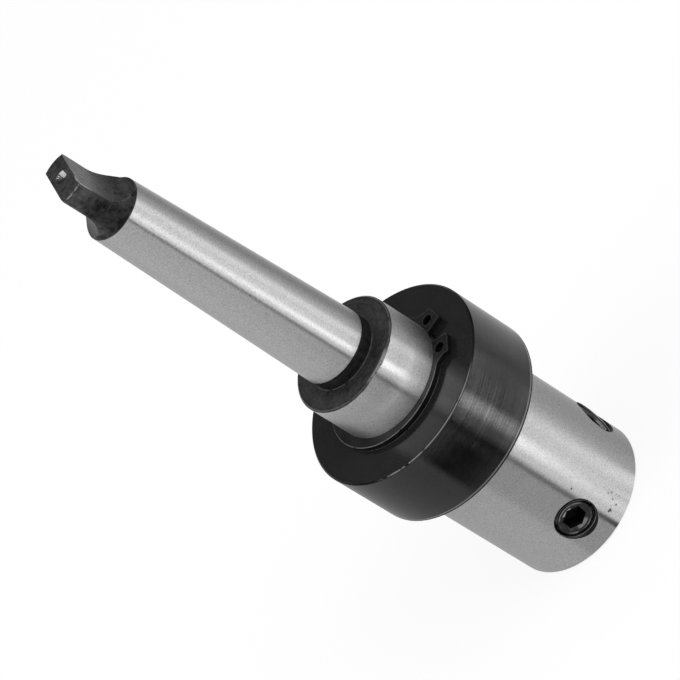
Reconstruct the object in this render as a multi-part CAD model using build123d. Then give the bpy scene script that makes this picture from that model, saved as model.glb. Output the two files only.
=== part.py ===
# Morse taper arbor for hollow cutters with a 19.05 mm (3/4 inch) flatted shank, with a coolant ring.
# Millimetres. The part stands on the mouth of its cutter socket: the origin is the middle of that
# face and +Z runs along the axis to the tang. +X is the side of the first clamp screw.
from build123d import *
import math
import os

# Socket end of the arbor
body_d = 37.0
body_len = 40.9
mouth_chamfer = 0.3
socket_d = 19.07
socket_depth = 35.0
socket_lead_in = 0.8

# Journal that carries the coolant ring, up to the black shoulder below the taper
journal_d = 28.0
shoulder_z = 75.6
shoulder_chamfer = 0.5

# Morse taper No. 2: diameter at the gauge line, loss of diameter per mm, lengths along the axis
gauge_d = 17.780
taper_rate = 0.04995
gauge_offset = 5.0
taper_len = 63.5
neck_len = 3.4
neck_relief = 0.12
neck_fillet = 0.4

# Milled tang: its flats run out in an arc, and stand a little off the line of the first screw
tang_d = 13.5
tang_reach = 14.1
tang_shoulder_len = 0.9
tang_thickness = 5.3
tang_flat_len = 7.0
tang_runout_r = 8.0
tang_turn = -2.7
tang_corner_r = 0.9
centre_mouth_d = 3.35
centre_pilot_d = 1.6
centre_pilot_depth = 3.4

# Clamp screws that bear on the two flats of a cutter's shank
screw_d = 9.8
screw_len = 8.0
screw_z = 10.7
screw_count = 2
screw_recess = 0.8
screw_hex = 5.0
screw_hex_depth = 4.0
screw_chamfer = 0.9
screw_cup_d = 5.5
screw_turn = 55.0
thread_clearance = 0.05
screw_hole_chamfer = 0.1

# Coolant ring and its two seals
ring_d = 48.6
ring_len = 19.4
ring_chamfer = 0.4
ring_bore_chamfer = 0.4
ring_end_play = 0.1
running_clearance = 0.05
coolant_groove_width = 4.5
coolant_groove_depth = 2.4
seal_section_d = 2.0
seal_offset = 5.9
seal_groove_width = 2.6
seal_clearance = 0.02
port_d = 8.8
port_chamfer = 0.6
port_overrun = 1.0
coolant_hole_d = 4.0
coolant_hole_count = 4

# External retaining ring above the coolant ring
clip_thickness = 1.5
clip_groove_d = 26.6
clip_groove_play = 0.05
clip_seat_clearance = 0.02
clip_wide = 3.2
clip_narrow = 1.8
clip_lug_height = 4.8
clip_lug_width = 5.4
clip_lug_angle = 18.0
clip_hole_d = 2.6
clip_gap_direction = 80.0

# Outline of a snap ring's lug: heights as shares of its height, widths as shares of half its
# width, and the depth at which its heel runs out in the band as a share of the narrow end
lug_hole_share = 0.52
lug_shoulder_share = 0.72
lug_back_share = 0.83
lug_heel_share = 1.5
lug_heel_depth = 0.6
lug_corner_r = 0.45

# Ejector in the chamber above the socket: inner retaining ring, plunger and spring
chamber_d = 16.0
chamber_top = 66.5
chamber_drill_d = 9.0
inner_clip_z = 37.0
inner_clip_thickness = 1.0
inner_clip_groove_d = 16.8
inner_clip_wide = 2.0
inner_clip_narrow = 1.2
inner_clip_lug_height = 3.4
inner_clip_lug_width = 3.2
inner_clip_lug_angle = 24.0
inner_clip_hole_d = 1.5
plunger_clearance = 0.08
plunger_guide_len = 4.0
plunger_spigot_d = 8.6
plunger_spigot_len = 3.0
plunger_seat_d = 6.5
plunger_chamfer = 0.4
spring_wire_d = 1.0
spring_mean_d = 10.4
spring_coils = 4.5
seat_gap = 0.05

# Full angles of a drill's point, a lathe centre's seat and a screw's cup
drill_point_angle = 118
centre_seat_angle = 60
screw_cup_angle = 120

# Places that follow from the sizes above
body_r = body_d / 2
socket_r = socket_d / 2
journal_r = journal_d / 2
chamber_r = chamber_d / 2
gauge_z = shoulder_z + gauge_offset
taper_end_z = gauge_z + taper_len
tang_end_z = taper_end_z + tang_reach
neck_top_z = shoulder_z + neck_len
ring_low_z = body_len + ring_end_play
ring_high_z = ring_low_z + ring_len
ring_mid_z = (ring_low_z + ring_high_z) / 2
clip_z = ring_high_z + ring_end_play
clip_groove_low = clip_z - clip_groove_play
clip_groove_high = clip_z + clip_thickness + clip_groove_play
inner_clip_top = inner_clip_z + inner_clip_thickness
plunger_low_z = inner_clip_top + seat_gap
plunger_seat_z = plunger_low_z + plunger_guide_len
screw_hole_r = screw_d / 2 + thread_clearance
screw_face_r = body_r - screw_recess
overcut = 1.0

# The seam of the turned faces lies between the cross holes, away from the screws and the port
seam_angle = 200


def cone_depth(radius, full_angle):
    """Depth of a cone of the given full angle where it is radius wide."""
    return radius / math.tan(math.radians(full_angle / 2))


def taper_r(z):
    """Radius of the ground taper at height z."""
    return (gauge_d - taper_rate * (z - gauge_z)) / 2


def revolved(points):
    """Solid turned about Z from an outline of (radius, height) points."""
    outline = make_face(Polyline(*[(r, 0, z) for r, z in points], close=True))
    return Rot(0, 0, seam_angle) * revolve(outline, Axis.Z)


def drilled(radius, start_r, end_r, z, angle):
    """Round drill core along a radius of the part, from start_r out to end_r."""
    core = Cylinder(radius, end_r - start_r, align=(Align.CENTER, Align.CENTER, Align.MIN))
    core = Pos(0, 0, start_r) * core
    return Rot(0, 0, angle) * (Pos(0, 0, z) * (Rot(0, 90, 0) * core))


def countersink(radius, chamfer, surface_r, z, angle):
    """Cone that breaks the edge of a radial hole where it leaves a round surface of surface_r."""
    sag = surface_r - math.sqrt(surface_r**2 - (radius + chamfer) ** 2)
    low = surface_r - sag - chamfer
    cone = Cone(
        radius,
        radius + chamfer + sag + overcut,
        chamfer + sag + overcut,
        align=(Align.CENTER, Align.CENTER, Align.MIN),
    )
    return Rot(0, 0, angle) * (Pos(0, 0, z) * (Rot(0, 90, 0) * (Pos(0, 0, low) * cone)))


def annulus(inner_r, outer_r, low, high):
    """Ring-shaped tool for a groove about Z."""
    return revolved([(inner_r, low), (outer_r, low), (outer_r, high), (inner_r, high)])


def turned_blank():
    """Outside of the arbor as it leaves the lathe and the grinder."""
    small_r = taper_r(taper_end_z)
    return revolved(
        [
            (0, 0),
            (body_r - mouth_chamfer, 0),
            (body_r, mouth_chamfer),
            (body_r, body_len),
            (journal_r, body_len),
            (journal_r, shoulder_z - shoulder_chamfer),
            (journal_r - shoulder_chamfer, shoulder_z),
            (taper_r(shoulder_z) - neck_relief + neck_fillet, shoulder_z),
            (taper_r(shoulder_z) - neck_relief, shoulder_z + neck_fillet),
            (taper_r(neck_top_z) - neck_relief, neck_top_z),
            (taper_r(neck_top_z), neck_top_z),
            (small_r, taper_end_z),
            (tang_d / 2, taper_end_z + tang_shoulder_len),
            (tang_d / 2, tang_end_z),
            (0, tang_end_z),
        ]
    )


def tang_cutters():
    """The two milled flats of the tang, each swept out by a round run-out into the taper."""
    half = tang_thickness / 2
    flat_low = tang_end_z - tang_flat_len
    reach = body_r
    top = tang_end_z + overcut
    with BuildSketch(Plane.YZ) as flat:
        with BuildLine():
            Line((half, top), (half, flat_low))
            TangentArc(
                (half, flat_low),
                (half + tang_runout_r, flat_low - tang_runout_r),
                tangent=(0, -1),
            )
            Line((half + tang_runout_r, flat_low - tang_runout_r), (reach, flat_low - tang_runout_r))
            Line((reach, flat_low - tang_runout_r), (reach, top))
            Line((reach, top), (half, top))
        make_face()
    cutter = extrude(flat.sketch, amount=body_r, both=True)
    return [Rot(0, 0, tang_turn) * side for side in (cutter, mirror(cutter, about=Plane.XZ))]


def centre_hole():
    """Lathe centre in the end of the tang: a 60 degree seat with a pilot below it."""
    mouth_r = centre_mouth_d / 2
    pilot_r = centre_pilot_d / 2
    seat_depth = cone_depth(mouth_r - pilot_r, centre_seat_angle)
    tip_depth = cone_depth(pilot_r, drill_point_angle)
    bottom = tang_end_z - seat_depth - centre_pilot_depth
    return revolved(
        [
            (0, bottom - tip_depth),
            (pilot_r, bottom),
            (pilot_r, tang_end_z - seat_depth),
            (mouth_r, tang_end_z),
            (mouth_r, tang_end_z + overcut),
            (0, tang_end_z + overcut),
        ]
    )


def socket_and_chamber():
    """Everything that is bored out from the mouth: lead-in, socket, ejector chamber, spring seat."""
    drill_r = chamber_drill_d / 2
    return revolved(
        [
            (0, -overcut),
            (socket_r + socket_lead_in + overcut, -overcut),
            (socket_r, socket_lead_in),
            (socket_r, socket_depth),
            (chamber_r, socket_depth),
            (chamber_r, chamber_top),
            (drill_r, chamber_top),
            (0, chamber_top + cone_depth(drill_r, drill_point_angle)),
        ]
    )


def screw_angles():
    """The clamp screws stand a quarter turn apart, as the flats of a cutter's shank do."""
    return [90 * i for i in range(screw_count)]


def make_arbor_body():
    blank = turned_blank()
    tang_rim = blank.edges().group_by(Axis.Z)[-1]
    blank = fillet(tang_rim, tang_corner_r)
    arbor = blank - tang_cutters() - centre_hole() - socket_and_chamber()
    arbor -= annulus(clip_groove_d / 2, journal_r + overcut, clip_groove_low, clip_groove_high)
    arbor -= annulus(
        chamber_r - overcut, inner_clip_groove_d / 2, inner_clip_z - seat_gap, inner_clip_top + seat_gap
    )
    for angle in screw_angles():
        arbor -= drilled(screw_hole_r, socket_r / 2, body_r + overcut, screw_z, angle)
        arbor -= countersink(screw_hole_r, screw_hole_chamfer, body_r, screw_z, angle)
    for i in range(coolant_hole_count):
        angle = (i + 0.5) * 360 / coolant_hole_count
        arbor -= drilled(coolant_hole_d / 2, chamber_r / 2, journal_r + overcut, ring_mid_z, angle)
    return arbor


def make_coolant_ring():
    bore_r = journal_r + running_clearance
    outer_r = ring_d / 2
    ring = revolved(
        [
            (bore_r + ring_bore_chamfer, ring_low_z),
            (outer_r - ring_chamfer, ring_low_z),
            (outer_r, ring_low_z + ring_chamfer),
            (outer_r, ring_high_z - ring_chamfer),
            (outer_r - ring_chamfer, ring_high_z),
            (bore_r + ring_bore_chamfer, ring_high_z),
            (bore_r, ring_high_z - ring_bore_chamfer),
            (bore_r, ring_low_z + ring_bore_chamfer),
        ]
    )
    groove_r = bore_r + coolant_groove_depth
    half_groove = coolant_groove_width / 2
    ring -= annulus(bore_r - overcut, groove_r, ring_mid_z - half_groove, ring_mid_z + half_groove)
    for z in seal_heights():
        half_seal = seal_groove_width / 2
        ring -= annulus(bore_r - overcut, seal_groove_r(), z - half_seal, z + half_seal)
    ring -= drilled(port_d / 2, groove_r - port_overrun, outer_r + overcut, ring_mid_z, 180)
    ring -= countersink(port_d / 2, port_chamfer, outer_r, ring_mid_z, 180)
    return ring


def seal_heights():
    return [ring_mid_z - seal_offset, ring_mid_z + seal_offset]


def seal_centre_r():
    """The seal's section just clears the journal that turns inside it."""
    return journal_r + running_clearance + seal_section_d / 2


def seal_groove_r():
    return seal_centre_r() + seal_section_d / 2 + seal_clearance


def make_seal(z):
    return Pos(0, 0, z) * Torus(seal_centre_r(), seal_section_d / 2)


def make_clamp_screw(angle):
    """Hexagon socket screw with a cup point, from its cup at z = 0 to its face at z = screw_len."""
    r = screw_d / 2
    cup_r = screw_cup_d / 2
    screw = revolved(
        [
            (0, cone_depth(cup_r, screw_cup_angle)),
            (cup_r, 0),
            (r, r - cup_r),
            (r, screw_len - screw_chamfer),
            (r - screw_chamfer, screw_len),
            (0, screw_len),
        ]
    )
    socket = Rot(0, 0, screw_turn) * RegularPolygon(screw_hex / 2, 6, major_radius=False)
    screw -= Pos(0, 0, screw_len - screw_hex_depth) * extrude(socket, screw_hex_depth + overcut)
    tip_r = screw_face_r - screw_len
    return Rot(0, 0, angle) * (Pos(0, 0, screw_z) * (Rot(0, 90, 0) * (Pos(0, 0, tip_r) * screw)))


def snap_ring(seat_r, side, wide, narrow, lug_height, lug_width, lug_angle, hole_d):
    """Flat outline of an eccentric snap ring whose gap points to +X.

    side is 1 for a ring on a shaft, with its lugs outwards, and -1 for a ring in a bore.
    The band is widest opposite the gap and the free ends carry two lugs with holes.
    """
    offset = (wide - narrow) / 2
    free_r = seat_r + side * (wide + narrow) / 2
    free_edge = Pos(-side * offset, 0) * Circle(free_r)
    seat_edge = Circle(seat_r)
    band = free_edge - seat_edge if side > 0 else seat_edge - free_edge
    hole_r = seat_r + side * lug_height * lug_hole_share
    tip_r = seat_r + side * lug_height
    half = lug_width / 2
    end_cover = math.asin(half / (seat_r + lug_height))
    open_angle = math.radians(lug_angle) - end_cover
    far = seat_r * 2
    wedge = make_face(
        Polyline(
            (0, 0),
            (far, -far * math.tan(open_angle)),
            (far, far * math.tan(open_angle)),
            close=True,
        )
    )
    ring = band - wedge
    for hand in (1, -1):
        turn = Rot(0, 0, hand * lug_angle)
        root_r = seat_r - side * narrow / 2
        back = hand * half * lug_back_share
        heel = hand * half * lug_heel_share
        lug = make_face(
            Polyline(
                (root_r, -hand * half),
                (tip_r, -hand * half),
                (tip_r, back),
                (seat_r + side * lug_height * lug_shoulder_share, back),
                (seat_r + side * narrow * lug_heel_depth, heel),
                (root_r, heel),
                close=True,
            )
        )
        corners = lug.vertices().sort_by(Axis.X, reverse=side > 0)[:3]
        ring += turn * fillet(corners, lug_corner_r)
        ring -= turn * (Pos(hole_r, 0) * Circle(hole_d / 2))
    return ring - seat_edge if side > 0 else ring & seat_edge


def make_retaining_ring():
    flat = snap_ring(
        clip_groove_d / 2 + clip_seat_clearance,
        1,
        clip_wide,
        clip_narrow,
        clip_lug_height,
        clip_lug_width,
        clip_lug_angle,
        clip_hole_d,
    )
    return Pos(0, 0, clip_z) * (Rot(0, 0, clip_gap_direction) * extrude(flat, clip_thickness))


def make_inner_retaining_ring():
    flat = snap_ring(
        inner_clip_groove_d / 2 - clip_seat_clearance,
        -1,
        inner_clip_wide,
        inner_clip_narrow,
        inner_clip_lug_height,
        inner_clip_lug_width,
        inner_clip_lug_angle,
        inner_clip_hole_d,
    )
    return Pos(0, 0, inner_clip_z) * extrude(flat, inner_clip_thickness)


def make_ejector_plunger():
    guide_r = chamber_r - plunger_clearance
    spigot_r = plunger_spigot_d / 2
    seat_r = plunger_seat_d / 2
    return revolved(
        [
            (0, plunger_low_z + cone_depth(seat_r, drill_point_angle)),
            (seat_r, plunger_low_z),
            (guide_r - plunger_chamfer, plunger_low_z),
            (guide_r, plunger_low_z + plunger_chamfer),
            (guide_r, plunger_seat_z - plunger_chamfer),
            (guide_r - plunger_chamfer, plunger_seat_z),
            (spigot_r, plunger_seat_z),
            (spigot_r, plunger_seat_z + plunger_spigot_len - plunger_chamfer),
            (spigot_r - plunger_chamfer, plunger_seat_z + plunger_spigot_len),
            (0, plunger_seat_z + plunger_spigot_len),
        ]
    )


def make_ejector_spring():
    """Compression spring between the plunger and the roof of the chamber, with ground ends."""
    low = plunger_seat_z + seat_gap
    high = chamber_top - seat_gap
    wire_r = spring_wire_d / 2
    coil_r = spring_mean_d / 2
    pitch = (high - low) / spring_coils
    helix = Pos(0, 0, low) * Helix(pitch, high - low, coil_r)
    section = Plane(helix @ 0, z_dir=helix % 0) * Circle(wire_r)
    wire = sweep(section, path=helix, is_frenet=True)
    slab = Pos(0, 0, low) * Cylinder(
        coil_r * 2, high - low, align=(Align.CENTER, Align.CENTER, Align.MIN)
    )
    return wire & slab


parts = {
    "arbor_body": make_arbor_body(),
    "coolant_ring": make_coolant_ring(),
    "lower_seal": make_seal(seal_heights()[0]),
    "upper_seal": make_seal(seal_heights()[1]),
    "retaining_ring": make_retaining_ring(),
    "inner_retaining_ring": make_inner_retaining_ring(),
    "ejector_plunger": make_ejector_plunger(),
    "ejector_spring": make_ejector_spring(),
}
for i, angle in enumerate(screw_angles()):
    parts[f"clamp_screw_{i + 1}"] = make_clamp_screw(angle)

os.makedirs("parts", exist_ok=True)
for name, solid in parts.items():
    export_step(solid, f"parts/{name}.step")
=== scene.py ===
# A Morse taper No. 2 arbor for hollow cutters, with a coolant ring, dressed for its photograph.
# Metres, in the frame of the CAD model: the arbor stands on the mouth of its cutter socket.
import math

import bpy
import numpy as np
from mathutils import Matrix, Vector


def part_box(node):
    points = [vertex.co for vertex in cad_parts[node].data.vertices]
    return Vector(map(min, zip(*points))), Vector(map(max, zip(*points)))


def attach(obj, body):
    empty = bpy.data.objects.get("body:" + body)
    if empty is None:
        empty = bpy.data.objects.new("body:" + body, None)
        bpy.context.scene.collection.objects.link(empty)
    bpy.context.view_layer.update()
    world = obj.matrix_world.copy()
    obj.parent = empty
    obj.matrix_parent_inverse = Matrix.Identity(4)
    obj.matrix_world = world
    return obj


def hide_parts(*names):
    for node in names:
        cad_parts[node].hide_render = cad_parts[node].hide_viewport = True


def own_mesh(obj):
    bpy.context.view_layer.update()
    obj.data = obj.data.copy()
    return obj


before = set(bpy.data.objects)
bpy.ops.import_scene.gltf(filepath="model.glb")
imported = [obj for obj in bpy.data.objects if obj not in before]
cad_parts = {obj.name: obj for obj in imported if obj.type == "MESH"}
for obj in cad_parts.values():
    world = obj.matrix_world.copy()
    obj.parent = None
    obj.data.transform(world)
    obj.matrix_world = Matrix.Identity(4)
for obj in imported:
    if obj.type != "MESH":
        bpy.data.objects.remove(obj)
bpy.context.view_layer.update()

scene = bpy.context.scene
scene.view_settings.view_transform = "Standard"


# The photographer's place: a long lens above the tang, tipped so that the arbor runs
# across the picture from the upper left to the lower right.
lens_mm = 211.76
sensor_mm = 36
near_clip = 0.02
far_clip = 20
view_azimuth = math.radians(11.83)
view_elevation = math.radians(35.105)
view_roll = math.radians(-57.867)
view_distance = 0.86127
aim_point = Vector((-0.001788, 0.001749, 0.076979))

towards_camera = Vector(
    (
        math.cos(view_elevation) * math.cos(view_azimuth),
        math.cos(view_elevation) * math.sin(view_azimuth),
        math.sin(view_elevation),
    )
)
level_right = Vector((0, 0, 1)).cross(towards_camera).normalized()
level_up = towards_camera.cross(level_right)
camera_right = math.cos(view_roll) * level_right + math.sin(view_roll) * level_up
camera_up = towards_camera.cross(camera_right)

camera_data = bpy.data.cameras.new("photo_camera")
camera_data.lens = lens_mm
camera_data.sensor_width = sensor_mm
camera_data.clip_start = near_clip
camera_data.clip_end = far_clip
camera = bpy.data.objects.new("photo_camera", camera_data)
scene.collection.objects.link(camera)
turn = Matrix((camera_right, camera_up, towards_camera)).transposed().to_4x4()
camera.matrix_world = Matrix.Translation(aim_point + towards_camera * view_distance) @ turn
scene.camera = camera


# A white table under an even white surround. What the lens and the polished steel see of
# both is plain white; a share of the table's white is real light, so it keeps the shadow.
table_half_width = 3.0
table_drop = 0.0003
table_glow = 0.82
table_paint = 0.22
table_albedo = 0.8
surround_light = 0.55


def new_material(name):
    material = bpy.data.materials.new(name)
    material.use_nodes = True
    material.node_tree.nodes.clear()
    return material


def add(tree, kind, **values):
    """Adds a node. A value goes to the setting or the input of that name, or is linked to it."""
    made = tree.nodes.new(kind)
    for key, value in values.items():
        if hasattr(made, key):
            setattr(made, key, value)
            continue
        socket = made.inputs[int(key[1:])] if key[1:].isdigit() else made.inputs[key.replace("_", " ")]
        if isinstance(value, bpy.types.NodeSocket):
            tree.links.new(value, socket)
        else:
            socket.default_value = value
    return made


def math_node(tree, operation, first, second=0.0, clamp=False):
    return add(tree, "ShaderNodeMath", operation=operation, use_clamp=clamp, _0=first, _1=second).outputs[0]


def seen_rays(tree):
    """1 for what the lens sees, straight or in a reflection or through glass, otherwise 0."""
    path = add(tree, "ShaderNodeLightPath").outputs
    seen = math_node(tree, "MAXIMUM", path["Is Camera Ray"], path["Is Glossy Ray"])
    return math_node(tree, "MAXIMUM", seen, path["Is Transmission Ray"])


def grey(level):
    return (level, level, level, 1.0)


table_mesh = bpy.data.meshes.new("white_table")
w = table_half_width
table_corners = [(-w, -w, -table_drop), (w, -w, -table_drop), (w, w, -table_drop), (-w, w, -table_drop)]
table_mesh.from_pydata(table_corners, [], [(0, 1, 2, 3)])
table = bpy.data.objects.new("white_table", table_mesh)
scene.collection.objects.link(table)

table_white = new_material("table_white")
tree = table_white.node_tree
glow = add(tree, "ShaderNodeEmission", Color=grey(1.0), Strength=table_glow)
paint = add(tree, "ShaderNodeBsdfDiffuse", Color=grey(table_paint))
lit = add(tree, "ShaderNodeAddShader", _0=glow.outputs[0], _1=paint.outputs[0])
plain = add(tree, "ShaderNodeBsdfDiffuse", Color=grey(table_albedo))
mixed = add(tree, "ShaderNodeMixShader", _0=seen_rays(tree), _1=plain.outputs[0], _2=lit.outputs[0])
add(tree, "ShaderNodeOutputMaterial", Surface=mixed.outputs[0])
table_mesh.materials.append(table_white)

surround = bpy.data.worlds.new("surround")
surround.use_nodes = True
scene.world = surround
tree = surround.node_tree
tree.nodes.clear()
ambient = add(tree, "ShaderNodeBackground", Color=grey(1.0), Strength=surround_light)
white = add(tree, "ShaderNodeBackground", Color=grey(1.0), Strength=1.0)
mixed = add(tree, "ShaderNodeMixShader", _0=seen_rays(tree), _1=ambient.outputs[0], _2=white.outputs[0])
add(tree, "ShaderNodeOutputWorld", Surface=mixed.outputs[0])


# The lamps: two large soft boxes overhead, one to each side. Each has its azimuth and its
# elevation in degrees, and its power in watts.
soft_box_distance = 1.2
soft_box_width = 0.8
soft_boxes = {"soft_box_left": (60, 50, 4.0), "soft_box_right": (-80, 45, 3.0)}

for name, (azimuth_deg, elevation_deg, watts) in soft_boxes.items():
    data = bpy.data.lights.new(name, "AREA")
    data.shape = "RECTANGLE"
    data.size = soft_box_width
    data.size_y = soft_box_width
    data.energy = watts
    lamp = bpy.data.objects.new(name, data)
    a, e = math.radians(azimuth_deg), math.radians(elevation_deg)
    way = Vector((math.cos(a) * math.cos(e), math.sin(a) * math.cos(e), math.sin(e)))
    turned = way.to_track_quat("Z", "Y").to_matrix().to_4x4()
    lamp.matrix_world = Matrix.Translation(aim_point + way * soft_box_distance) @ turned
    scene.collection.objects.link(lamp)


# Light panels and dark cards laid on the table and stood round it, as a studio sets them to
# draw bands along polished steel. Only reflections see the drum that stands for them all.
drum_radius = 0.42
drum_floor_z = -0.00015
drum_height = 0.45
drum_sides = 96
near_level = 0.54
far_level = 0.615
# Each card: azimuth of its middle in degrees, half its width, softness of its edge, and its
# brightness close to the arbor and far out.
cards = [
    (128, 21, 28, 0.44, 0.36),
    (66, 20, 8, 0.94, 1.03),
    (74, 6, 8, 1.08, 1.14),
    (59, 3, 6, 0.84, 0.84),
    (35, 9, 8, 1.03, 1.34),
    (21, 4.5, 4, 0.90, 1.03),
    (11.5, 3.5, 5, 0.05, 0.13),
    (187, 14, 16, 1.00, 0.90),
]
# Every other card has one brightness. Close in, a darker one stands beside the line down the
# arbor's middle. The journal's part of the table is lighter or darker by a gain.
side_card = (-18, 24, 5, 0.42)
side_card_reach = (0.079, 0.085)
journal_gain = 1.12
journal_gain_cards = [(23, 62, 18, 2.45), (150, 46, 20, 0.50)]
journal_reach = (0.1085, 0.1105, 0.1200, 0.1225)
# The black coolant ring mirrors a strip of its own, which is dark beside one strong panel.
ring_mirror_radius = 0.0243
ring_strip = (0.0555, 0.0570, 0.0845, 0.0860)
ring_strip_cards = [
    (0, 200, 1, 0.42),
    (75, 22, 12, 0.62),
    (150, 40, 24, 0.60),
    (39, 7, 9, 4.0),
    (-10, 28, 6, 0.0),
]
# The body mirrors the near part of the table, and the thinner taper the far part.
mirror_radii = (0.0185, 0.0085)
mirror_reaches = (0.078, 0.118)
mirror_steps = 3
# Above the table the same cards stand again at the front. The back and the top are dark.
over_from_z = 0.15
over_full_z = 0.22
over_back_level = 0.10
over_front = (95, 110)
over_top_level = 0.25
lid_from_z = 0.445


def ramp(tree, value, low, high, to_low=0.0, to_high=1.0):
    """Smooth step of a value from low to high."""
    return add(
        tree,
        "ShaderNodeMapRange",
        interpolation_type="SMOOTHSTEP",
        Value=value,
        From_Min=low,
        From_Max=high,
        To_Min=to_low,
        To_Max=to_high,
    ).outputs[0]


def window(tree, value, low, full, fading, gone):
    """1 between two smooth steps, up from low to full and down from fading to gone."""
    return product(tree, ramp(tree, value, low, full), ramp(tree, value, fading, gone, 1.0, 0.0))


def blend(tree, share, first, second):
    """Mix of two numbers."""
    return add(tree, "ShaderNodeMix", data_type="FLOAT", _0=share, _2=first, _3=second).outputs[0]


def product(tree, *values):
    result = values[0]
    for value in values[1:]:
        result = math_node(tree, "MULTIPLY", result, value)
    return result


def total(tree, *values):
    result = values[0]
    for value in values[1:]:
        result = math_node(tree, "ADD", result, value)
    return result


def length(tree, first, second):
    """Length of the diagonal over two numbers."""
    return math_node(tree, "SQRT", total(tree, product(tree, first, first), product(tree, second, second)))


def object_place(tree):
    return add(tree, "ShaderNodeTexCoord").outputs["Object"]


def object_xyz(tree):
    return add(tree, "ShaderNodeSeparateXYZ", _0=object_place(tree)).outputs


around_drum = np.linspace(0, 2 * math.pi, drum_sides, endpoint=False)
corners = [
    (drum_radius * math.cos(a), drum_radius * math.sin(a), z)
    for z in (drum_floor_z, drum_height)
    for a in around_drum
]
faces = [tuple(range(drum_sides)), tuple(range(drum_sides, 2 * drum_sides))]
for i in range(drum_sides):
    n = (i + 1) % drum_sides
    faces.append((i, n, drum_sides + n, drum_sides + i))
drum_mesh = bpy.data.meshes.new("reflector_cards")
drum_mesh.from_pydata(corners, [], faces)
reflectors = bpy.data.objects.new("reflector_cards", drum_mesh)
scene.collection.objects.link(reflectors)
reflectors.visible_camera = False
reflectors.visible_diffuse = False
reflectors.visible_transmission = False
reflectors.visible_volume_scatter = False
reflectors.visible_shadow = False

card_light = new_material("card_light")
tree = card_light.node_tree
x, y, z = object_xyz(tree)
reach = length(tree, x, y)


def half_turn(angle):
    """The same angle between minus and plus half a turn."""
    return add(tree, "ShaderNodeMath", operation="WRAP", _0=angle, _1=math.pi, _2=-math.pi).outputs[0]


from_front = half_turn(math_node(tree, "SUBTRACT", math_node(tree, "ARCTAN2", y, x), view_azimuth))


def mirror_side(radius):
    """Where round a cylinder of this radius the point of the drum is mirrored, from its front."""
    share = math_node(tree, "MINIMUM", math_node(tree, "DIVIDE", radius, reach), 1.0)
    side = math_node(tree, "MULTIPLY", from_front, 0.5)
    for _ in range(mirror_steps):
        lag = math_node(tree, "ARCSINE", product(tree, share, math_node(tree, "SINE", side)))
        side = product(tree, total(tree, from_front, lag), 0.5)
    return side


def sector(side, middle, half, soft):
    """1 inside a sector of the drum, falling to 0 over its soft edge."""
    away = math_node(tree, "SUBTRACT", product(tree, side, 2.0), math.radians(middle) - view_azimuth)
    away = math_node(tree, "ABSOLUTE", half_turn(away))
    return ramp(tree, away, math.radians(half - soft / 2), math.radians(half + soft / 2), 1.0, 0.0)


near_to_far = ramp(tree, reach, *mirror_reaches)
side = mirror_side(blend(tree, near_to_far, *mirror_radii))
level = blend(tree, near_to_far, near_level, far_level)
middle, half, soft, brightness = side_card
close = product(tree, sector(side, middle, half, soft), ramp(tree, reach, *side_card_reach, 1.0, 0.0))
level = blend(tree, close, level, brightness)
for middle, half, soft, near, far in cards:
    level = blend(tree, sector(side, middle, half, soft), level, blend(tree, near_to_far, near, far))
gain = journal_gain
for middle, half, soft, brightness in journal_gain_cards:
    gain = blend(tree, sector(side, middle, half, soft), gain, brightness)
level = product(tree, level, blend(tree, window(tree, reach, *journal_reach), 1.0, gain))
behind = ramp(tree, math_node(tree, "ABSOLUTE", from_front), *(math.radians(a) for a in over_front))
overhead = blend(tree, behind, level, over_back_level)

# How far a ray runs over the table to this point from the coolant ring's outer wall.
side = mirror_side(ring_mirror_radius)
across = product(tree, ring_mirror_radius, math_node(tree, "SINE", side))
along = product(tree, ring_mirror_radius, math_node(tree, "COSINE", side))
chord = math_node(tree, "SUBTRACT", product(tree, reach, reach), product(tree, across, across))
run = math_node(tree, "SUBTRACT", math_node(tree, "SQRT", math_node(tree, "MAXIMUM", chord, 0.0)), along)
in_strip = window(tree, run, *ring_strip)
for middle, half, soft, brightness in ring_strip_cards:
    level = blend(tree, product(tree, sector(side, middle, half, soft), in_strip), level, brightness)
level = blend(tree, ramp(tree, z, over_from_z, over_full_z), level, overhead)
level = blend(tree, math_node(tree, "GREATER_THAN", z, lid_from_z), level, over_top_level)
glow = add(tree, "ShaderNodeEmission", Color=grey(1.0), Strength=level)
add(tree, "ShaderNodeOutputMaterial", Surface=glow.outputs[0])
drum_mesh.materials.append(card_light)


# The arbor: one piece of alloy steel, turned, hardened and ground bright on the taper, the
# journal and the body. Its tang, and the neck and shoulder below the taper, stay black from
# the hardening bath. The two flats of the tang are milled.
steel_grey = 0.58
steel_roughness = 0.30
steel_anisotropy = 0.9
steel_relief = 0.000002
grinding_spacing = 0.00011
turning_spacing = 0.00035
black_grey = 0.011
black_face_grey = 0.030
black_roughness = 0.30
black_specular = 0.36
# Rubbed-off black and painted highlights show bright steel: its colour, roughness and metal share.
wear_and_highlight_grey = 0.62
wear_and_highlight_roughness = 0.55
wear_and_highlight_metal_share = 0.35
# Where the black lies along the arbor, and how softly it ends there.
black_from_z = 0.1438
black_edge = 0.0001
neck_low_z = 0.07506
neck_low_edge = 0.00005
neck_top_z = 0.0790
black_wander = 0.00012
# Each rim has its radius and its height.
journal_rim = (0.01375, 0.07535)
neck_corner = (0.00889, 0.07572)
tang_end_rim = (0.0066, 0.1577)
# Each mark on the tang fades in or out between two values of one coordinate.
near_corner_x = (0.0030, 0.0052)
near_corner_y = (0.0012, 0.0018)
near_corner_z = (0.1535, 0.1560)
cone_edge_z = (0.1465, 0.1475)
dull_cone_z = (0.1449, 0.1453)
bright_tip_z = (0.1500, 0.1570)
lower_scoop_y = (-0.0030, -0.0024)
streak_width = 0.00022
streak_length = 0.0045
centre_radius = 0.00168
centre_hole_z = (0.1500, 0.1510)
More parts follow.
